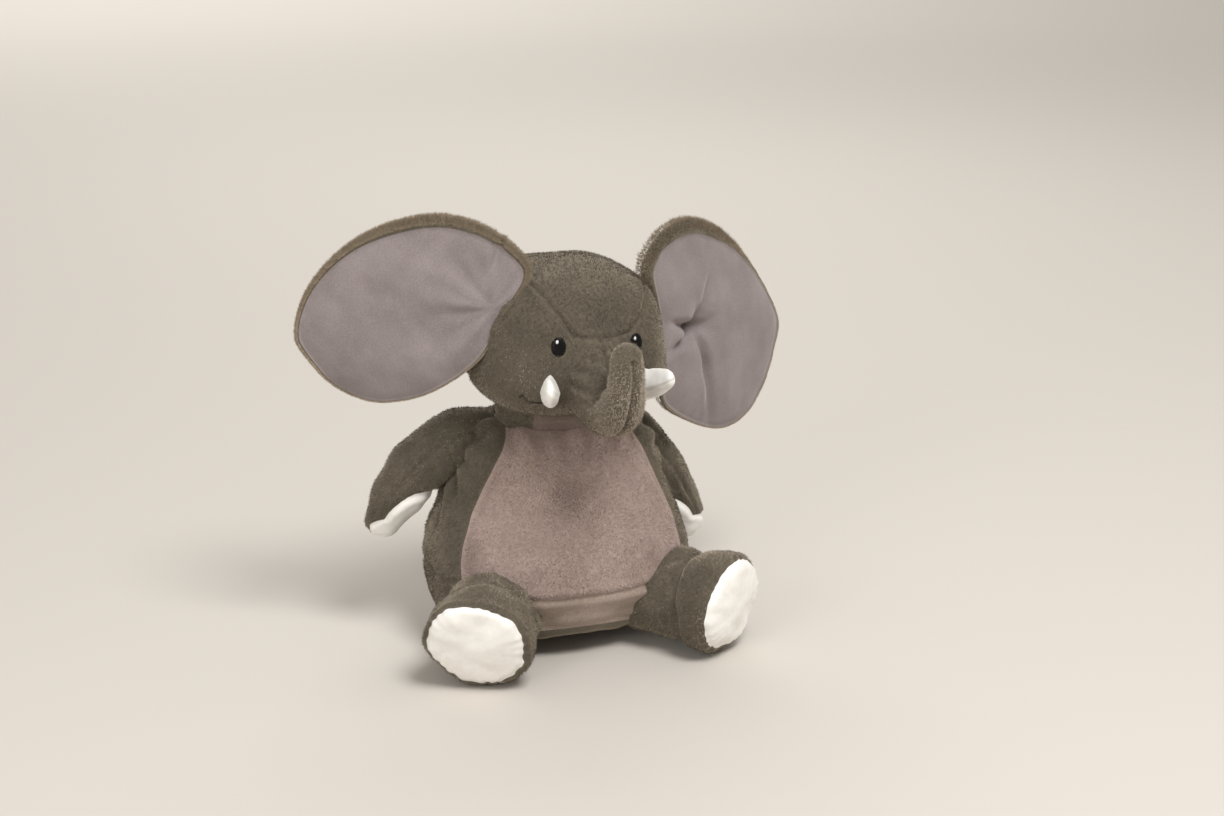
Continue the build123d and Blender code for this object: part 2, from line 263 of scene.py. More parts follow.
def run_along(line):
    """How far down a line of points each one is."""
    return np.concatenate([[0], np.cumsum(lengths(np.diff(line, axis=0)))])


def smooth_table(outline, low, high):
    """Evenly spaced (place, width) from an outline of (width, place), with its corners rounded."""
    places = np.linspace(low, high, 98)
    widths = np.interp(places, [place for _, place in outline], [width for width, _ in outline])
    for _ in range(4):
        widths[1:-1] = (widths[:-2] + 2 * widths[1:-1] + widths[2:]) / 4
    return places, widths


def surface(field, low, high, step):
    """Points and triangles of the surface where field crosses zero, inside the box from low to high."""
    corners = np.argwhere(np.ones((2, 2, 2)))
    axes = [np.arange(a, b + step, step) for a, b in zip(low, high)]
    value = field(*np.meshgrid(*axes, indexing="ij"))
    inside = value < 0
    size = np.array(value.shape) - 1
    count = np.zeros(size, np.int8)
    for corner in corners:
        count += inside[tuple(slice(c, c + n) for c, n in zip(corner, size))]
    cells = np.argwhere((count > 0) & (count < 8))
    at_corner = [value[tuple((cells + corner).T)] for corner in corners]
    total = np.zeros((len(cells), 3))
    hits = np.zeros(len(cells))
    for a in range(8):
        for b in range(a + 1, 8):
            if np.abs(corners[a] - corners[b]).sum() != 1:
                continue
            crosses = (at_corner[a] < 0) != (at_corner[b] < 0)
            t = at_corner[a] / np.where(crosses, at_corner[a] - at_corner[b], 1)
            total += crosses[:, None] * (corners[a] + t[:, None] * (corners[b] - corners[a]))
            hits += crosses
    points = np.array(low) + step * (cells + total / hits[:, None])
    number = np.full(size, -1)
    number[tuple(cells.T)] = np.arange(len(cells))
    triangles = []
    for axis in range(3):
        u, v = np.eye(3, dtype=int)[(axis + 1) % 3], np.eye(3, dtype=int)[(axis + 2) % 3]
        first, second = np.delete(inside, -1, axis), np.delete(inside, 0, axis)
        edges = np.argwhere(first != second)
        leaving = first[tuple(edges.T)]
        quad = np.stack([number[tuple((edges - shift).T)] for shift in (u + v, v, 0 * u, u)], 1)
        quad[~leaving] = quad[~leaving][:, ::-1]
        triangles += [quad[:, (0, 1, 2)], quad[:, (0, 2, 3)]]
    return points, np.vstack(triangles)


def compact(points, faces):
    """The mesh without the points that no face uses."""
    used, index = np.unique(faces, return_inverse=True)
    return points[used], index.reshape(-1, 3)


def cut(mesh, field):
    """Two meshes, below and above zero in field(points), which share the edge between them."""
    points, faces = mesh
    value = field(points)
    value = np.where(np.abs(value) < 1e-4, 1e-4, value)
    below = value < 0
    sides = below[faces].sum(1)
    mixed = faces[(sides > 0) & (sides < 3)]
    if not len(mixed):
        return compact(points, faces[sides == 3]), compact(points, faces[sides == 0])
    low_corner = below[mixed]
    lone = np.where(low_corner.sum(1) == 1, low_corner.argmax(1), (~low_corner).argmax(1))
    rows = np.arange(len(mixed))
    a, b, c = (mixed[rows, (lone + k) % 3] for k in range(3))
    pairs = np.sort(np.stack([a, b, a, c], 1).reshape(-1, 2), 1)
    ends, index = np.unique(pairs, axis=0, return_inverse=True)
    share = value[ends[:, 0]] / (value[ends[:, 0]] - value[ends[:, 1]])
    added = points[ends[:, 0]] + share[:, None] * (points[ends[:, 1]] - points[ends[:, 0]])
    ab, ac = (len(points) + index.reshape(-1, 2)).T
    tips = np.stack([a, ab, ac], 1)
    rests = np.vstack([np.stack([ab, b, c], 1), np.stack([ab, c, ac], 1)])
    tip_below = below[a]
    twice = np.tile(tip_below, 2)
    points = np.vstack([points, added])
    return (compact(points, np.vstack([faces[sides == 3], tips[tip_below], rests[~twice]])),
            compact(points, np.vstack([faces[sides == 0], tips[~tip_below], rests[twice]])))


def joined(meshes):
    """Several meshes as one."""
    starts = np.cumsum([0] + [len(points) for points, _ in meshes])
    return (np.vstack([points for points, _ in meshes]),
            np.vstack([faces + start for (_, faces), start in zip(meshes, starts)]))


def normals_of(points, faces):
    across = np.cross(points[faces[:, 1]] - points[faces[:, 0]], points[faces[:, 2]] - points[faces[:, 0]])
    normals = np.zeros_like(points)
    for k in range(3):
        np.add.at(normals, faces[:, k], across)
    return units(normals)


def smoothed(points, faces, rounds):
    """Each point moves towards the middle of its neighbours."""
    a, b = np.vstack([faces[:, (0, 1)], faces[:, (1, 2)], faces[:, (2, 0)]]).T
    near = np.bincount(a, minlength=len(points)) + np.bincount(b, minlength=len(points))
    for _ in range(rounds):
        mean = np.zeros_like(points)
        for k in range(3):
            mean[:, k] = np.bincount(a, points[b, k], len(points)) + np.bincount(b, points[a, k], len(points))
        mean /= near[:, None]
        points = points + 0.5 * (mean - points)
    return points


def stuffed(field, low, high, step, rounds):
    """Points, triangles and normals of the surface of a field, smoothed."""
    points, faces = surface(field, low, high, step)
    points = smoothed(points, faces, rounds)
    return points, faces, normals_of(points, faces)


def waves(points, size, seed, count=14):
    """Smooth random lumps between about -1 and 1, about size across."""
    source = np.random.default_rng(seed)
    total = np.zeros(len(points))
    for _ in range(count):
        direction = unit(source.normal(size=3)) * source.uniform(0.6, 1.4) * 2 * math.pi / (2 * size)
        total += np.sin(points @ direction + source.uniform(0, 2 * math.pi))
    return total / math.sqrt(count)


def bump(distance, width=1):
    """1 at no distance, falling to nearly nothing at twice the width."""
    return np.exp(-(distance / width) ** 2)


def ramp(value, start=0, length=1):
    """0 up to start, then rising evenly to 1 over the length."""
    return np.clip((value - start) / length, 0, 1)


def crease(distance, depth, width):
    """How far the surface moves in at a seam: a narrow valley between two soft shoulders."""
    near = np.abs(distance) / width
    return -depth * bump(near) + 0.35 * depth * bump(near - 2.2, 1.1)


# ---- Materials ----

GRAIN_RANGE = (0.36, 0.66)  # the noise values between which the colour goes from dark to light
NAP_RANGE = (0.35, 0.65)
RELIEF_DEPTH = 0.8
SHEEN_ROUGHNESS = 0.45
PILE_ROUGHNESS = 0.9


def set_inputs(node, values):
    for name, value in values.items():
        node.inputs[name].default_value = value


def new_material(name, roughness, sheen=0.0, sheen_tint=(1, 1, 1), specular=0.3):
    material = bpy.data.materials.new(name)
    material.use_nodes = True
    shader = material.node_tree.nodes["Principled BSDF"]
    set_inputs(shader, {"Roughness": roughness, "Specular IOR Level": specular, "Sheen Weight": sheen,
                        "Sheen Roughness": SHEEN_ROUGHNESS, "Sheen Tint": (*sheen_tint, 1)})
    return material, shader


def noise_node(nodes, links, scale, detail, stretch=(1, 1, 1)):
    place = nodes.new("ShaderNodeTexCoord")
    mapping = nodes.new("ShaderNodeMapping")
    set_inputs(mapping, {"Scale": stretch})
    noise = nodes.new("ShaderNodeTexNoise")
    set_inputs(noise, {"Scale": scale, "Detail": detail})
    links.new(place.outputs["Object"], mapping.inputs["Vector"])
    links.new(mapping.outputs["Vector"], noise.inputs["Vector"])
    return noise.outputs["Fac"]


def ramp_node(nodes, links, source, low, high, dark, light):
    node = nodes.new("ShaderNodeValToRGB")
    for element, place, colour in zip(node.color_ramp.elements, (low, high), (dark, light)):
        element.position = place
        element.color = (*colour, 1)
    links.new(source, node.inputs["Fac"])
    return node.outputs["Color"]


def cloth_material(name, dark, light, sheen, tint, grain, nap, strength, fineness, roughness=0.92,
                   stretch=(1, 1, 1), specular=0.25):
    """Cloth with a fine grain (grain per metre) over wide patches (nap per metre) of dark and light.

    strength and fineness (per metre) are those of its relief.
    """
    material, shader = new_material(name, roughness, sheen, tint, specular)
    nodes, links = material.node_tree.nodes, material.node_tree.links
    fine = ramp_node(nodes, links, noise_node(nodes, links, grain, 3, stretch), *GRAIN_RANGE, dark, light)
    wide = ramp_node(nodes, links, noise_node(nodes, links, nap, 4), *NAP_RANGE, dark, light)
    mix = nodes.new("ShaderNodeMix")
    mix.data_type = "RGBA"
    set_inputs(mix, {"Factor": 0.5})
    links.new(fine, mix.inputs[6])
    links.new(wide, mix.inputs[7])
    links.new(mix.outputs[2], shader.inputs["Base Color"])
    relief = nodes.new("ShaderNodeBump")
    set_inputs(relief, {"Strength": strength, "Distance": RELIEF_DEPTH * MM})
    links.new(noise_node(nodes, links, fineness, 4, stretch), relief.inputs["Height"])
    links.new(relief.outputs["Normal"], shader.inputs["Normal"])
    return material


def plain_material(name, colour, roughness, sheen=0.0, specular=0.2):
    material, shader = new_material(name, roughness, sheen, [c ** 0.5 for c in colour], specular)
    set_inputs(shader, {"Base Color": (*colour, 1)})
    return material


# The cloth of each slot, as cloth_material takes it
CLOTH = {slot: cloth_material(*facts) for slot, facts in {
    "grey_plush": ("GreyPlush", (0.073, 0.061, 0.043), (0.128, 0.107, 0.078), 1.0, (0.62, 0.53, 0.41),
                   520, 45, 0.5, 700),
    "belly_plush": ("BellyPlush", (0.275, 0.203, 0.172), (0.41, 0.315, 0.272), 1.0, (0.62, 0.52, 0.45),
                    430, 40, 0.5, 600),
    # the belly's cloth with painted shade: darker, standing in for the shadow under the chin
    "throat": ("NeckPlushPaintedShade", (0.13, 0.094, 0.078), (0.20, 0.15, 0.128), 0.6, (0.5, 0.42, 0.36),
               430, 40, 0.5, 600),
    "lower_belly_plush": ("LowerBellyPlush", (0.232, 0.178, 0.146), (0.356, 0.283, 0.237), 1.0,
                          (0.6, 0.5, 0.42), 560, 35, 0.5, 700),
    "mauve_lining": ("MauveLining", (0.208, 0.175, 0.172), (0.296, 0.254, 0.251), 0.5, (0.7, 0.64, 0.62),
                     900, 28, 0.35, 1400),
    "white_satin": ("WhiteSatin", (0.86, 0.83, 0.78), (0.93, 0.91, 0.87), 0.3, (1, 0.97, 0.92),
                    260, 60, 0.12, 420, 0.6),
    "black_thread": ("BlackThread", (0.003, 0.003, 0.003), (0.009, 0.008, 0.008), 0.0, (0.6, 0.6, 0.6),
                     900, 200, 0.25, 1500, 0.35, (1, 1, 0.2), 0.12),
    "white_thread": ("WhiteThread", (0.7, 0.69, 0.66), (0.9, 0.89, 0.86), 0.1, (1, 1, 1),
                     900, 200, 0.6, 1500, 0.45, (1, 1, 0.2), 0.5),
    "dark_thread": ("DarkThread", (0.03, 0.022, 0.018), (0.07, 0.055, 0.045), 0.1, (0.7, 0.6, 0.5),
                    900, 200, 0.9, 1500, 0.7),
}.items()}

# The pale tone of each also serves as painted light, and the dark tone as painted shade, where make_pile's
# light is given
PILE_COLOURS = {
    "plush": {"PileDark": (0.084, 0.070, 0.050), "PileMid": (0.120, 0.101, 0.073),
              "PileLight": (0.172, 0.146, 0.109), "PilePale": (0.36, 0.302, 0.238)},
    "belly": {"BellyPileDark": (0.265, 0.195, 0.172), "BellyPileMid": (0.382, 0.292, 0.266),
              "BellyPileLight": (0.488, 0.385, 0.354), "BellyPilePale": (0.55, 0.45, 0.418)},
    # painted backlight: the tan tones of the ear fringe stand in for its glow when lit from behind
    "painted_backlight_tan": {"PileTanPaintedBacklight": (0.36, 0.29, 0.21), "PileTanMidPaintedBacklight": (0.27, 0.215, 0.15)},
}
PILE_OF_SLOT = {"grey_plush": "plush", "belly_plush": "belly"}
PILE_SHEEN = {"plush": 0.6, "belly": 0.6, "painted_backlight_tan": 0.0}
PILE_TONES = {
    tone: [plain_material(name, colour, PILE_ROUGHNESS, PILE_SHEEN[tone]) for name, colour in shades.items()]
    for tone, shades in PILE_COLOURS.items()
}
TONE_STEPS = [-0.7, 0.7, 2.1]  # dark, middle, light and pale lie between these
MOST_BLADES = 190000


# ---- Pieces ----

def new_object(name, data):
    made = bpy.data.objects.new(name, data)
    bpy.context.scene.collection.objects.link(made)
    return made


def to_object(name, points, faces, materials, tones=None):
    """A mesh object from points in millimetres."""
    mesh = bpy.data.meshes.new(name)
    mesh.vertices.add(len(points))
    mesh.vertices.foreach_set("co", (np.asarray(points) * MM).astype(np.float32).ravel())
    mesh.loops.add(3 * len(faces))
    mesh.loops.foreach_set("vertex_index", np.asarray(faces, np.int32).ravel())
    mesh.polygons.add(len(faces))
    mesh.polygons.foreach_set("loop_start", np.arange(0, 3 * len(faces), 3, dtype=np.int32))
    for material in materials:
        mesh.materials.append(material)
    if tones is not None:
        mesh.polygons.foreach_set("material_index", np.asarray(tones, np.int32))
    mesh.update(calc_edges=True)
    mesh.polygons.foreach_set("use_smooth", np.ones(len(faces), bool))
    return new_object(name, mesh)


def attach(piece, body, bend):
    """A piece attached to its body, or, for cloth that crosses a joint, left unattached with its place baked
    into its mesh.

    bend is (other body, start, end), in millimetres, for cloth that crosses a joint; only whether it is given
    is read.
    """
    if bend:
        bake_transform(piece)
    else:
        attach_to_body(piece, body)


def panel(name, mesh, slot, body, nodes, bend=None, fill=0.8, pile=True, cloth=None, **pile_facts):
    """A shown piece of the toy, in its slot's cloth if no other is named, with the pile of its slot."""
    points, faces = mesh
    made = [to_object(name, points, faces, [CLOTH[cloth or slot]])]
    if pile and slot in PILE_OF_SLOT:
        made.append(make_pile("pile_" + name, points, faces, PILE_OF_SLOT[slot], **pile_facts))
    for piece in made:
        attach(piece, body, bend)
    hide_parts(*nodes)


def blade_corners(base, half, tips):
    """Thin triangles, each from base, half to either side of it, up to its tip."""
    return np.stack([base - half, base + half, tips], 1).reshape(-1, 3)


def make_blades(name, corners, tone, tones):
    return to_object(name, corners, np.arange(len(corners)).reshape(-1, 3), PILE_TONES[tone], tones)


def near_edge(points, faces, places):
    """1 on the open part of a panel, falling to 0.3 at its seams, where the stitches hold the pile down."""
    sides = np.sort(np.vstack([faces[:, (0, 1)], faces[:, (1, 2)], faces[:, (2, 0)]]), axis=1)
    ends, count = np.unique(sides, axis=0, return_counts=True)
    rim = np.unique(ends[count == 1])
    if not len(rim):
        return np.ones((len(places), 1))
    tree = KDTree(len(rim))
    for index in rim:
        tree.insert(points[index], int(index))
    tree.balance()
    reach = np.array([tree.find(place)[2] for place in places.tolist()])
    return np.clip(0.3 + reach / 6, 0.3, 1)[:, None]


def make_pile(name, points, faces, tone, length=1.9, width=0.5, area_each=1.15, flat=1.2, nap=(0, 0.15, -1),
              swirl=0.55, light=None, seed=1):
    """Short leaning blades all over a mesh: one thin triangle each, in four tones.

    nap is the way they are brushed and swirl is how far they wander from it. light(points, normals) is
    painted
    light and shade: above zero where the pile is painted paler as if lit, below zero where it is painted
    darker as if in shade.
    """
    source = np.random.default_rng(seed + len(faces))
    a, b, c = (points[faces[:, k]] for k in range(3))
    area = 0.5 * lengths(np.cross(b - a, c - a))
    count = min(int(area.sum() / area_each), MOST_BLADES)
    chosen = source.choice(len(faces), count, p=area / area.sum())
    u, v = source.random(count), source.random(count)
    u, v = np.where(u + v > 1, 1 - u, u)[:, None], np.where(u + v > 1, 1 - v, v)[:, None]
    roots = a[chosen] + u * (b - a)[chosen] + v * (c - a)[chosen]
    at_a, at_b, at_c = (normals_of(points, faces)[faces[chosen, k]] for k in range(3))
    up = units((1 - u - v) * at_a + u * at_b + v * at_c)
    wander = np.stack([waves(roots, 22, seed + k) for k in (11, 12, 13)], 1)
    lay = np.array(nap) + swirl * wander + 0.45 * source.normal(size=(count, 3))
    lay = units(flattened(lay, up))
    open_part = near_edge(points, faces, roots)
    high = length * source.uniform(0.7, 1.25, count)[:, None] * open_part
    lean = flat * source.uniform(0.6, 1.3, count)[:, None]
    tips = roots + high * (up + lean * lay) / np.sqrt(1 + lean ** 2)
    corners = blade_corners(roots - 0.25 * up, 0.5 * width * np.cross(up, lay), tips)
    corners[:, 2] = np.maximum(corners[:, 2], BLADE_GAP)
    tone_and_painted_light = 0.7 * waves(roots, 26, seed + 21) + source.normal(size=count) + 1.1 * (open_part[:, 0] < 0.6)
    # painted light: blades that face up are painted a little paler
    tone_and_painted_light += 0.15 * up[:, 2]
    # painted light and shade that the caller gives
    if light:
        tone_and_painted_light += light(roots, up)
    return make_blades(name, corners, tone, np.digitize(tone_and_painted_light, TONE_STEPS))


# ---- Head ----

head_axes = turn("Z", HEAD_TURN) @ turn("Y", HEAD_TILT)
head_origin = np.array(HEAD_CENTRE, float)


def from_head(points):
    return head_origin + np.asarray(points, float) @ head_axes.T


trunk_line = rounded(TRUNK)


def head_field(x, y, z):
    a, b, c = HEAD_HALF_SIZE
    n = HEAD_ROUNDNESS
    low, high = HEAD_BACK_SLOPE
    back_slope = low + (high - low) * (0.5 + 0.5 * np.tanh(z / 30))
    up = z + HEAD_DROP + back_slope * np.maximum(y, 0)
    a = a * (1 - HEAD_NARROWING * z)
    share = (np.abs(x / a) ** n + np.abs(y / b) ** n + np.abs(up / c) ** n) ** (1 / n)
    away = np.sqrt(x * x + y * y + up * up)
    skull = away * (1 - 1 / np.maximum(share, 1e-3))
    return smooth_min(skull, chain_field(trunk_line, x, y, z), TRUNK_BLEND)


def crown_seam(p):
    """Above zero behind the seam from ear to ear."""
    below, above = CROWN_SEAM_BACK
    high = p[:, 2] - EAR_ROOT[2]
    return 0.75 * (p[:, 1] - CROWN_SEAM_Y - above * np.maximum(high, 0) - below * np.maximum(-high, 0))


def gusset_seam(p):
    """Below zero inside the forehead gusset."""
    half = GUSSET_BROW_HALF + GUSSET_SLOPE * (p[:, 2] - GUSSET_BROW_Z)
    sideways = (np.abs(p[:, 0] - GUSSET_SHIFT) - half) / math.hypot(1, GUSSET_SLOPE)
    return np.maximum(sideways, GUSSET_BROW_Z + 1.5 * (p[:, 0] / 20) ** 2 - p[:, 2])


def make_head():
    points, faces, normals = stuffed(head_field, *HEAD_BOX, HEAD_STEP, 3)
    x, y, z = points.T
    crown = crown_seam(points)
    in_front = crown < 1
    move = crease(crown, *CROWN_CREASE)
    gusset = gusset_seam(points)
    brow = in_front & (y > -100) & (z > 8)
    move += np.where(brow, crease(gusset, *GUSSET_CREASE), 0)
    # the seam down the middle is deeper on the trunk
    middle = in_front & (gusset > 0)
    move += np.where(middle, crease(x, np.where(y < -80, 3.4, 2.0), 2.0), 0)
    # the groove where the upturned end of the trunk stands against the rest
    finger = chain_field(rounded(TRUNK[FINGER_START:]), *points.T)
    rest = chain_field(rounded(TRUNK[:FINGER_START]), *points.T)
    groove = ramp(z, -34, 10) * (y < -60)
    move -= 3.2 * groove * bump(finger - rest, 4)
    # a dimple under each eye's inner corner, where the trunk pulls on the face, and a dent along the mouth
    for sign in SIDES.values():
        dimple = lengths((points - (sign * 22, -72, 14)) / (9, 14, 7))
        move -= 1.8 * bump(dimple)
        smile = lengths((points - (sign * 44, -60, -43)) / (20, 20, 5))
        move -= 1.6 * bump(smile)
    # small wrinkles inside the bend of the trunk
    inner_curl = (y < -80) & (np.hypot(y + 97, z + 4) < 22)
    move += np.where(inner_curl, 1.1 * np.sin(0.55 * z + 0.2 * x), 0)
    move += 0.7 * waves(points, 26, 3) + 0.22 * waves(points, 9, 4)
    points = points + move[:, None] * normals
    front, back = cut((points, faces), crown_seam)
    gusset_part, face = cut(front, gusset_seam)
    right, left = cut(face, lambda p: p[:, 0])
    for name, (local, triangles), nodes in (
            ("head_back", back, ["head_back_panel", "head_filling"]),
            ("forehead_gusset", gusset_part, ["forehead_gusset"]),
            ("face_right", right, ["face_panel_right"]),
            ("face_left", left, ["face_panel_left"])):
        # painted light and shade on the pile: the trunk's upturned tip is painted pale as if lit, and pile
        # that faces up is painted darker
        panel(name + "_cloth", (from_head(local), triangles), "grey_plush", "head", nodes, swirl=0.2,
              light=lambda p, n: 3.1 * ramp(-p[:, 1], 122, 16) - 1.6 * ramp(n[:, 2]))
    return BVHTree.FromPolygons([tuple(p) for p in points], [tuple(f) for f in faces.tolist()])


def on_face(tree, x, z, rise):
    """The point of the face straight behind (x, z), raised along the normal."""
    place, normal, _, _ = tree.ray_cast(Vector((x, -200, z)), Vector((0, 1, 0)))
    return np.array(place) + rise * np.array(normal)


def disc_mesh(place, rings=10, around=40):
    """A closed patch from place(share, angle), share 0 to 1 from its middle to its edge."""
    points = [place(0, 0)]
    for ring in range(1, rings + 1):
        points += [place(ring / rings, 2 * math.pi * k / around) for k in range(around)]
    faces = [(0, 1 + k, 1 + (k + 1) % around) for k in range(around)]
    for ring in range(rings - 1):
        start = 1 + ring * around
        for k in range(around):
            a, b = start + k, start + (k + 1) % around
            faces += [(a, a + around, b + around), (a, b + around, b)]
    return np.array(points), np.array(faces)


def make_eyes(tree):
    glints = []
    for side, sign in SIDES.items():
        tilt = math.radians(EYE_TILT * sign)

        def eye_point(share, angle, size=EYE_HALF_SIZE, centre=(0, 0), rise=1.5, sink=0.5):
            u = centre[0] + size[0] * share * math.cos(angle)
            v = centre[1] + size[1] * share * math.sin(angle)
            x = sign * EYE_CENTRE[0] + u * math.cos(tilt) - v * math.sin(tilt)
            z = EYE_CENTRE[1] + u * math.sin(tilt) + v * math.cos(tilt)
            return on_face(tree, x, z, (rise + sink) * math.sqrt(max(1 - share ** 3, 0)) - sink)

        points, faces = disc_mesh(eye_point)
        panel(f"eye_{side}_thread", (from_head(points), faces[:, ::-1]), "black_thread", "head",
              [f"eye_{side}"], fill=None)
        points, faces = disc_mesh(lambda share, angle: eye_point(share, angle, GLINT_HALF_SIZE, GLINT_CENTRE,
                                                                 1.9, -1.2), 4, 18)
        glints.append((from_head(points), faces[:, ::-1]))
    panel("eye_highlight_thread", joined(glints), "white_thread", "head", ["eye_highlights"], fill=None)


def tube_mesh(line, radii, around):
    """A closed tube along a line of points."""
    line = np.asarray(line, float)
    along = np.gradient(line, axis=0)
    points, faces = [], []
    side = unit(np.cross(along[0], (0.3, 0.2, 0.9)))
    for centre, direction, radius in zip(line, along, radii):
        direction = unit(direction)
        side = unit(side - direction * (side @ direction))
        other = np.cross(direction, side)
        for k in range(around):
            angle = 2 * math.pi * k / around
            points.append(centre + radius * (math.cos(angle) * side + math.sin(angle) * other))
    for ring in range(len(line) - 1):
        for k in range(around):
            a, b = ring * around + k, ring * around + (k + 1) % around
            faces += [(a, b, b + around), (a, b + around, a + around)]
    last = (len(line) - 1) * around
    faces += [(k + 1, k, 0) for k in range(1, around - 1)]
    faces += [(last, last + k, last + k + 1) for k in range(1, around - 1)]
    return np.array(points), np.array(faces)


def make_mouth(tree):
    stitches = []
    smile = rounded(SMILE)
    for sign in SIDES.values():
        for (x1, z1), (x2, z2) in zip(smile[:-1], smile[1:]):
            line = [on_face(tree, sign * (x1 + t * (x2 - x1)), z1 + t * (z2 - z1), 0.5)
                    for t in (0, 0.5 * STITCH_REACH, STITCH_REACH)]
            stitches.append(tube_mesh(line, STITCH_RADII, 7))
    points, faces = joined(stitches)
    panel("mouth_stitches_thread", (from_head(points), faces), "dark_thread", "head", ["mouth_stitches"],
          fill=None)


def make_tusks():
    for side, sign in SIDES.items():
        root = np.array(TUSK_ROOT, float) * (sign, 1, 1)
        tip = np.array(TUSK_TIP[side], float) * (sign, 1, 1)
        line, radii = [], []
        for t in np.linspace(0, 1, 26):
            line.append(root + t * (tip - root) - (0, 0, TUSK_SAG * math.sin(math.pi * t)))
            radii.append((1 - TUSK_TAPER * t) * math.sqrt(max(1 - t ** 7, 0.004)))
        around = 40
        points, faces = tube_mesh(line, radii, around)
        ring = np.repeat(np.array(line), around, axis=0)
        # from a round section to a pointed one, narrow along its upper edge
        local = points - ring
        upper = ramp(local[:, 2])
        local[:, 0] *= TUSK_HALF_WIDTH * (1 - 0.75 * upper ** 1.4)
        below, above = TUSK_HALF_HEIGHT
        local[:, 1:] *= np.where(local[:, 2] > 0, above, below)[:, None]
        points = ring + local
        points = points + 0.25 * waves(points, 5, 5)[:, None] * normals_of(points, faces)
        panel(f"tusk_{side}_satin", (from_head(points), faces), "white_satin", "head",
              [f"tusk_{side}", "tusk_fillings"], fill=0.9)


# ---- Ears ----

def closed_curve(corners, count):
    """Evenly spaced points on a smooth closed curve near the corners."""
    line = np.array(corners, float)
    for _ in range(3):
        ahead = np.roll(line, -1, axis=0)
        line = np.stack([0.75 * line + 0.25 * ahead, 0.25 * line + 0.75 * ahead], 1).reshape(-1, 2)
    loop = np.vstack([line, line[:1]])
    run = run_along(loop)
    at = np.linspace(0, run[-1], count, endpoint=False)
    return np.stack([np.interp(at, run, loop[:, k]) for k in range(2)], 1)


def ear_shape(side, flat, share, front):
    """Height of the ear's front or back at (outwards, up); share is 0 in its middle and 1 at its rim."""
    u, v = flat.T
    if side == "right":
        from_root = np.hypot(u + 2, v - 22)
        angle = np.arctan2(v - 22, u + 2)
        fold = 1.5 * np.sin(5 * angle + 0.6) * bump(from_root, 70) * ramp(from_root, 0, 25)
        fold += 0.6 * np.sin(13 * angle + 1) * bump(from_root - 30, 18)
        # the pleat at the top inner corner
        fold -= 3.5 * bump(u + 3 + 0.3 * (v - 60), 3) * ramp(v, 34, 22)
        cup = -0.0009 * np.maximum(u - 40, 0) ** 2 + 5 * bump(u + 16, 14) * ramp(v, 30, 40)
    else:
        du, dv = u - PINCH[0], v - PINCH[1]
        fold = -7 * bump(np.hypot(du, dv), 15)
        for outwards, up, length, depth in PINCH_FOLDS:
            direction = unit((outwards, up))
            along = du * direction[0] + dv * direction[1]
            across = -du * direction[1] + dv * direction[0]
            fold -= depth * bump(across, 3.8) * bump(along - 0.35 * length, 0.5 * length)
        cup = 6 * ramp(v, 45, 40) ** 1.5
    cup = cup - EAR_CURL[side] * np.maximum(-v - 5, 0) ** 2
    thick = EAR_HALF_THICKNESS * np.sqrt(np.clip(1 - share ** 6, 0, 1))
    if not front:
        return cup + 0.6 * fold - thick
    level = np.stack([u, v, 0 * u], 1)
    return cup + fold + (thick + 0.6 * waves(level, 22, 31) + 0.22 * waves(level, 8, 32))


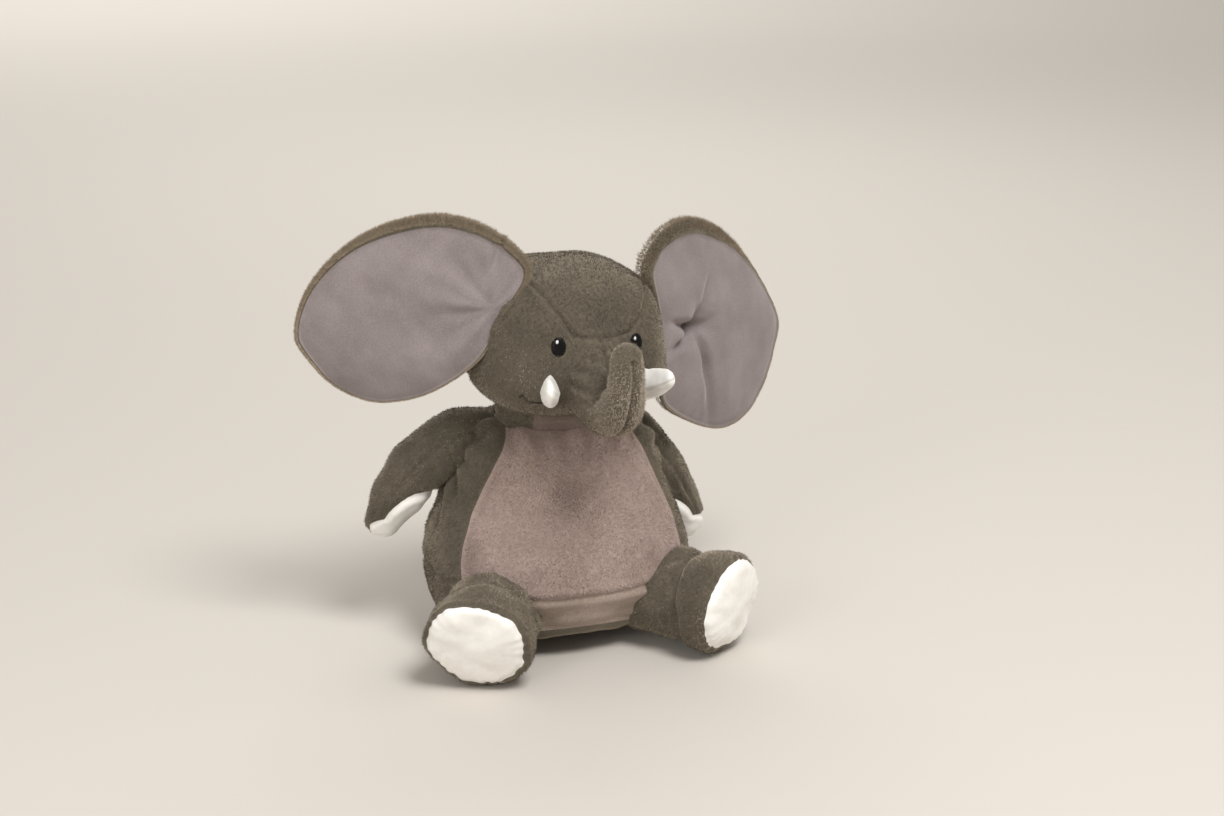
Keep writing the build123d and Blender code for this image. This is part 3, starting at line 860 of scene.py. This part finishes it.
def make_ears():
    sweep = math.radians(EAR_SWEEP)
    middle = np.array(EAR_MIDDLE, float)
    near_rim = np.sin(np.linspace(0.12, 1, 12) * math.pi / 2)
    levels = np.concatenate([np.linspace(0, 0.88, EAR_RINGS)[1:], 0.88 + 0.12 * near_rim])
    shares = np.concatenate([[0], np.repeat(levels, EAR_AROUND)])
    _, faces = disc_mesh(lambda s, a: (0, 0, 0), len(levels), EAR_AROUND)
    for side, sign in SIDES.items():
        out = np.array((sign * math.cos(sweep), math.sin(sweep), 0))
        front = np.array((sign * math.sin(sweep), -math.cos(sweep), 0))
        root = np.array(EAR_ROOT, float) * (sign, 1, 1)
        edge = closed_curve(EAR_OUTLINE[side], EAR_AROUND)
        bearing = np.degrees(np.arctan2(edge[:, 1] - middle[1], edge[:, 0] - middle[0]))
        peak, widest = EAR_RIM[side]
        turned = (bearing - peak + 180) % 360 - 180
        rim = EAR_RIM_LEAST + (widest - EAR_RIM_LEAST) * bump(turned, EAR_RIM_SPREAD)
        if side == "right":
            rim += 1.6 * bump(bearing, 50)
        flat = np.vstack([middle[None]] + [middle + share * (edge - middle) for share in levels])
        front_points, back_points = (np.column_stack([flat, ear_shape(side, flat, shares, is_front)])
                                     for is_front in (True, False))
        # how far inside the rim's inner edge each point is, where the lining lies deeper than the plush
        count = len(front_points)
        width = np.concatenate([[0], np.tile(rim, len(levels))])
        span = np.concatenate([[1], np.tile(lengths(edge - middle), len(levels))])
        inset = (1 - shares) * span - width
        recess = ramp(inset, 0, 1.5)
        front_points[:, 2] -= 0.9 * recess * np.exp(-np.maximum(inset, 0) / 9) + 0.3 * recess
        here = np.arange(count - EAR_AROUND, count)
        ahead = np.roll(here, -1)
        wall = np.vstack([np.stack([here, count + here, count + ahead], 1),
                          np.stack([here, count + ahead, ahead], 1)])
        points = np.vstack([front_points, back_points])
        shape = from_head(root + points[:, :1] * out + points[:, 1:2] * UP + points[:, 2:] * front)
        flip = 1 if side == "left" else -1
        all_inset = np.concatenate([inset, np.full(count, -1.0)])
        inset_at = {tuple(np.round(p, 4)): d for p, d in zip(shape, all_inset)}
        front_plush, front_lining = cut((shape, faces[:, ::flip]),
                                        lambda p: np.array([inset_at[tuple(np.round(q, 4))] for q in p]))
        behind = np.vstack([(faces[:, ::flip] + count)[:, ::-1], wall[:, ::flip]])
        cloth = compact(*joined([front_plush, (shape, behind)]))
        bend = ("head", from_head(root - 4 * out), from_head(root + 26 * out))
        body = f"ear_{side}"
        # painted light: the ear's pile that faces forwards and up is painted paler, as if lit
        panel(f"ear_{side}_plush", cloth, "grey_plush", body, [f"ear_plush_{side}", f"ear_wadding_{side}"],
              bend=bend, fill=0.5, length=2.4, seed=41,
              light=lambda p, n: 2.4 * ramp(-n[:, 1] + 0.3 * n[:, 2]))
        panel(f"ear_{side}_lining", front_lining, "mauve_lining", body, [f"ear_lining_{side}"], bend=bend,
              fill=0.4)
        make_fringe(side, body, bend, edge, rim, middle, root, out, front)


def make_fringe(side, body, bend, edge, rim, middle, root, out, front):
    """Longer pile that stands out round an ear, half of it on the rim and half on the edge, painted pale tan
    as if lit from behind.
    """
    source = np.random.default_rng(51)
    count = FRINGE_COUNT
    at = source.random(count) * len(edge)
    low = at.astype(int)
    t = (at - low)[:, None]
    flat = (1 - t) * edge[low] + t * edge[(low + 1) % len(edge)]
    outward = units(flat - middle)
    on_rim = source.random(count) < 0.5
    inset = np.where(on_rim, source.uniform(0.6, 0.75 * rim[low]), 1.2)
    flat = flat - inset[:, None] * outward
    shares = 1 - inset / lengths(edge - middle)[low]
    high = ear_shape(side, flat, shares, True) + np.where(on_rim, 0, source.uniform(-7, 0, count))
    base = root + flat[:, :1] * out + flat[:, 1:] * UP + high[:, None] * front
    away = outward[:, :1] * out + outward[:, 1:] * UP + 0.35 * source.normal(size=(count, 3))
    away = units(away + 0.5 * on_rim[:, None] * front)
    longest = FRINGE_LENGTH * np.clip(rim[low] / 4, 0.3, 1)
    tips = base + away * (longest * source.uniform(0.5, 1, count))[:, None]
    corners = blade_corners(base, FRINGE_HALF_WIDTH * np.cross(away, front), tips)
    tones = source.integers(0, 2, count)
    fringe = make_blades(f"pile_ear_{side}_fringe", from_head(corners), "painted_backlight_tan", tones)
    attach(fringe, body, bend)


# ---- Torso and neck ----

torso_table = smooth_table(TORSO_OUTLINE, -4, 190)
belly_table = smooth_table(BELLY_EDGE, 20, 190)


def underside(y):
    """Height of the bottom of the torso above the ground."""
    return UNDERSIDE_SLOPE * np.maximum(-y - 10, 0)


def torso_field(x, y, z):
    width = np.interp(z, *torso_table)
    n = TORSO_ROUNDNESS
    share = (np.abs(x / width) ** n + np.abs(y / (width * TORSO_DEPTH_SHARE)) ** n) ** (1 / n)
    side = (share - 1) * width * 0.88
    top = z - TORSO_TOP + TORSO_TOP_SLOPE * np.maximum(y, 0)
    return smooth_max(smooth_max(side, 1.0 + underside(y) - z, 9), top, 16)


def belly_seam(p):
    """Below zero inside the two belly panels."""
    half = np.interp(p[:, 2], *belly_table)
    half = np.where(p[:, 2] < LOWER_SEAM_Z, half - (LOWER_SEAM_Z - p[:, 2]) * 0.4, half)
    return np.where(p[:, 1] < 0, np.abs(p[:, 0]) - half, 60.0)


def lower_seam(p):
    return p[:, 2] - LOWER_SEAM_Z - 2.5 * (np.abs(p[:, 0]) / 60) ** 2


def seat_seam(p):
    return p[:, 2] - SEAT_SEAM_Z - underside(p[:, 1])


def back_seam(p):
    return p[:, 1] - BACK_SEAM_Y


def make_torso():
    points, faces, normals = stuffed(torso_field, *TORSO_BOX, TORSO_STEP, 3)
    x, y, z = points.T
    edge = belly_seam(points)
    edge = np.where(np.abs(edge) < 40, edge * 0.62, edge)
    move = crease(edge, *BELLY_CREASE)
    move += np.where(edge < 0, crease(lower_seam(points), *LOWER_CREASE), 0)
    move += crease(seat_seam(points), *SEAT_CREASE)
    move += np.where(z > SEAT_SEAM_Z, crease(back_seam(points), *BACK_CREASE), 0)
    # the chest dart and the tucks that the head's weight presses into the chest
    dart = ((x - 24 + 0.35 * (158 - z)) / 3.2) ** 2 + ((z - 152) / 16) ** 2
    move -= np.where(y < 0, 2.2 * np.exp(-dart), 0)
    tucks = bump(z - 166, 12) * np.sin(0.32 * x + 0.5) * ramp(-y, 0, 40)
    move += 1.1 * tucks
    # pleats where the arms and legs pull on the side panels
    for sign in SIDES.values():
        reach = lengths(points - (sign * SHOULDER[0], *SHOULDER[1:]))
        around = np.arctan2(z - SHOULDER[2], y - SHOULDER[1])
        move += 2.3 * np.sin(9 * around) * bump(reach - 32, 13)
        reach = lengths(points - (sign * THIGH_TOP[0], *THIGH_TOP[1:]))
        around = np.arctan2(z - THIGH_TOP[2], sign * x - THIGH_TOP[0])
        move += 1.1 * np.sin(9 * around + 0.8) * bump(reach - 46, 14)
    # the lower belly is slack
    slack = bump(z - 34, 13) * ramp(-y, 30, 20)
    move += 1.5 * slack * waves(points * (1, 1, 1.3), 30, 15)
    # a pucker in the right side panel
    move -= 1.8 * (bump(z - 62, 2.6) * bump(x + 100, 16))
    move += ramp(z, 2, 8) * (1.1 * waves(points, 30, 6) + 0.35 * waves(points, 11, 7))
    points = points + move[:, None] * normals
    points[:, 2] = np.maximum(points[:, 2], CLOTH_GAP)
    seat, upper = cut((points, faces), seat_seam)
    behind_seam, ahead = cut(upper, lambda p: -back_seam(p))
    middle, flanks = cut(ahead, belly_seam)
    lower, upper_belly = cut(middle, lower_seam)
    right, left = cut(flanks, lambda p: p[:, 0])
    # painted shade: the belly's pile is painted darker towards its top, for the shadow under the chin
    panel("belly_cloth", upper_belly, "belly_plush", "torso", ["belly_panel"], length=1.3, width=0.6,
          area_each=0.7, flat=1.1, light=lambda p, n: -2.2 * ramp(p[:, 2], 146, 16))
    panel("lower_belly_cloth", lower, "lower_belly_plush", "torso", ["lower_belly_panel"])
    for name, part, nodes in (
            ("side_right", right, ["side_panel_right"]),
            ("side_left", left, ["side_panel_left"]),
            ("back", behind_seam, ["back_panel", "torso_filling"])):
        panel(name + "_cloth", part, "grey_plush", "torso", nodes)
    panel("seat_cloth", seat, "grey_plush", "torso", ["seat_panel"], pile=False)


def make_neck():
    points, faces, normals = stuffed(lambda x, y, z: chain_field(NECK, NECK_DEPTH_SHARE * x, y, z), *NECK_BOX,
                                     TORSO_STEP, 0)
    folds = 0.9 * np.sin(0.9 * points[:, 2] + 0.8 * waves(points, 20, 8))
    points = points + folds[:, None] * normals
    throat, nape = cut((points, faces), lambda p: np.maximum(np.abs(p[:, 0]) - THROAT_HALF, p[:, 1]))
    # painted shade: the throat is drawn in the belly's cloth darkened for the shadow under the chin
    panel("throat_cloth", throat, "belly_plush", "neck", ["neck_skin"], pile=False, cloth="throat")
    panel("nape_cloth", nape, "grey_plush", "neck", ["neck_skin", "neck_filling"])


# ---- Arms ----

def make_arms():
    for side, sign in SIDES.items():
        line = rounded(ARM[side])
        centre = line[:, :3]
        points, faces, normals = stuffed(lambda x, y, z: chain_field(line, x, y, z), centre.min(0) - 30,
                                         centre.max(0) + 30, LIMB_STEP, 4)
        run = run_along(centre)
        facing = np.array(PAW_PAD_FACING, float) * (sign, 1, 1)

        def nearest(p):
            return np.linalg.norm(p[:, None] - centre[None], axis=2).argmin(1)

        def along_and_angle(p):
            """How far down the arm each point is, and its angle in degrees from the middle of the pad."""
            near = nearest(p)
            tangent = units(np.gradient(centre, axis=0)[near])
            away = p - centre[near]
            along = run[near] + (away * tangent).sum(1)
            away = flattened(away, tangent)
            down = flattened(facing, tangent)
            cosine = (away * down).sum(1) / np.maximum(lengths(away) * lengths(down), 1e-6)
            return along, np.degrees(np.arccos(np.clip(cosine, -1, 1)))

        def pad_seam(p):
            """Below zero inside the white pad under the paw, which goes right round the tip of the arm."""
            along, angle = along_and_angle(p)
            reach = PAW_PAD_HALF_ANGLE + 70 * ramp(along - run[-1], -6, 16)
            shape = ((along - (run[-1] - 4)) / PAW_PAD_HALF_LENGTH) ** 2 + (angle / reach) ** 2
            return (np.sqrt(shape) - 1) * 24

        edge = pad_seam(points)
        move = crease(edge, *PAW_CREASE)
        _, angle = along_and_angle(points)
        long_seam = np.radians(angle - ARM_SEAM_ANGLE) * ARM_GIRTH
        move += crease(long_seam, *ARM_CREASE) * ramp(edge, 0, 4)
        move += 0.8 * waves(points, 20, 9) + 0.25 * waves(points, 8, 10)
        # folds under the shoulder
        along = run[nearest(points)]
        move += 1.6 * np.sin(0.33 * along + 0.5) * bump(along - 22, 16) * (normals[:, 2] < 0.4)
        points = points + move[:, None] * normals
        paw, skin = cut((points, faces), pad_seam)
        bend = ("torso", ARM[side][0][:3], ARM[side][2][:3])
        body = f"arm_{side}"
        panel(f"arm_{side}_plush", skin, "grey_plush", body, [f"arm_skin_{side}", f"arm_filling_{side}"],
              bend=bend)
        panel(f"paw_pad_{side}_satin", paw, "white_satin", body, [f"paw_pad_{side}"], bend=bend)


# ---- Legs ----

leg_table = smooth_table(LEG_OUTLINE, -30, 95)


def leg_field(x, y, z, tilt):
    """The leg along its own Z, from the hip to the sole."""
    away = np.hypot(x, y * 1.03)
    side = away - np.interp(z, *leg_table)
    dome = SOLE + tilt * y + SOLE_DOME * np.clip(1 - (away / SOLE_DOME_RADIUS) ** 2, -1, 1)
    return smooth_max(smooth_max(side, z - dome, 7), -22 - z, 20)


def make_legs():
    for side, sign in SIDES.items():
        splay = math.radians(LEG_SPLAY[side])
        tilt = SOLE_TILT[side]
        along = np.array((sign * math.sin(splay), -math.cos(splay), 0))
        hip = np.array(HIP[side], float)
        axes = np.stack([np.cross(UP, along), UP, along], 1)
        points, faces, normals = stuffed(lambda x, y, z: leg_field(x, y, z, tilt), *LEG_BOX, LIMB_STEP, 2)

        def pad_seam(p):
            """Below zero inside the sole pad, whose edge is drawn in by its stitches."""
            angle = np.arctan2(p[:, 1], p[:, 0])
            edge = SOLE_PAD_RADIUS * (1 + 0.014 * np.sin(9 * angle + 1) + 0.009 * np.sin(15 * angle))
            depth = SOLE + tilt * p[:, 1] - p[:, 2]
            return np.maximum(np.hypot(p[:, 0] * 0.97, p[:, 1] * 1.02) - edge, depth - 4)

        def band_seam(p):
            return p[:, 2] - FOOT_BAND_START - 2.5 * np.sin(2 * np.arctan2(p[:, 1], p[:, 0]) + 0.6)

        x, y, z = points.T
        angle = np.arctan2(y, x)
        pad_edge = pad_seam(points)
        move = crease(pad_edge, *SOLE_CREASE)
        pucker = np.sin(22 * angle + 2 * np.sin(5 * angle))
        move += 0.45 * pucker * bump(pad_edge, 5) * (z > 50)
        move += crease(band_seam(points), *BAND_CREASE)
        move += 2.0 * np.sin(7 * angle + 0.12 * z) * bump(z - 36, 11)
        move += 1.1 * waves(points, 22, 12 + sign) + 0.35 * waves(points, 9, 13)
        points = points + move[:, None] * normals
        sole, rest = cut((points, faces), pad_seam)
        thigh, band = cut(rest, band_seam)
        bend = ("torso", hip + 2 * along, hip + 34 * along)
        for name, (local, triangles), slot, nodes in (
                ("leg_{}_plush", thigh, "grey_plush", ["leg_skin_", "leg_filling_"]),
                ("foot_band_{}_plush", band, "grey_plush", ["foot_band_"]),
                ("foot_pad_{}_satin", sole, "white_satin", ["foot_pad_"])):
            world = hip + local @ axes.T
            world[:, 2] = np.maximum(world[:, 2], CLOTH_GAP)
            # painted light: the pile on the upward-facing parts of the legs and feet is painted paler, as if
            # lit from above
            panel(name.format(side), (world, triangles), slot, f"leg_{side}", [node + side for node in nodes],
                  bend=bend, light=lambda p, n: 2.6 * ramp(n[:, 2], 0.35))


# ---- Tail ----

def make_tail():
    line = rounded(TAIL)
    centre = line[:, :3]
    points, faces, normals = stuffed(lambda x, y, z: chain_field(line, x, y, z), centre.min(0) - 9,
                                     centre.max(0) + 9, TAIL_STEP, 2)
    points = points + (0.25 * waves(points, 5, 14))[:, None] * normals
    panel("tail_plush", (points, faces), "grey_plush", "tail", ["tail"], length=3.0)


make_torso()
make_neck()
face_tree = make_head()
make_eyes(face_tree)
make_mouth(face_tree)
make_tusks()
make_ears()
make_arms()
make_legs()
make_tail()


# ---- Floor, light and camera ----

def make_stage():
    mesh = bpy.data.meshes.new("floor")
    mesh.from_pydata([(-9, -6, 0), (9, -6, 0), (9, 14, 0), (-9, 14, 0)], [], [(0, 1, 2, 3)])
    material, shader = new_material("Backdrop", 0.95, specular=0.1)
    set_inputs(shader, {"Base Color": (*FLOOR_COLOUR, 1)})
    mesh.materials.append(material)
    new_object("floor", mesh)
    world = bpy.data.worlds.new("Studio")
    world.use_nodes = True
    set_inputs(world.node_tree.nodes["Background"], {"Color": (*WORLD_COLOUR, 1), "Strength": WORLD_STRENGTH})
    bpy.context.scene.world = world
    bpy.context.scene.view_settings.view_transform = "Standard"
    for name, (place, aim, size, power) in LAMPS.items():
        light = bpy.data.lights.new(name, "AREA")
        light.shape = "DISK"
        light.size = size
        light.energy = power
        lamp = new_object(name, light)
        lamp.location = place
        lamp.rotation_euler = (Vector(aim) - Vector(place)).to_track_quat("-Z", "Y").to_euler()


def make_camera():
    data = bpy.data.cameras.new("camera")
    data.lens = CAMERA_LENS
    data.sensor_width = 36
    camera = new_object("camera", data)
    camera.location = CAMERA_PLACE
    camera.rotation_euler = Vector(CAMERA_DIRECTION).to_track_quat("-Z", "Y").to_euler()
    bpy.context.scene.camera = camera


make_stage()
make_camera()

bpy.context.view_layer.update()
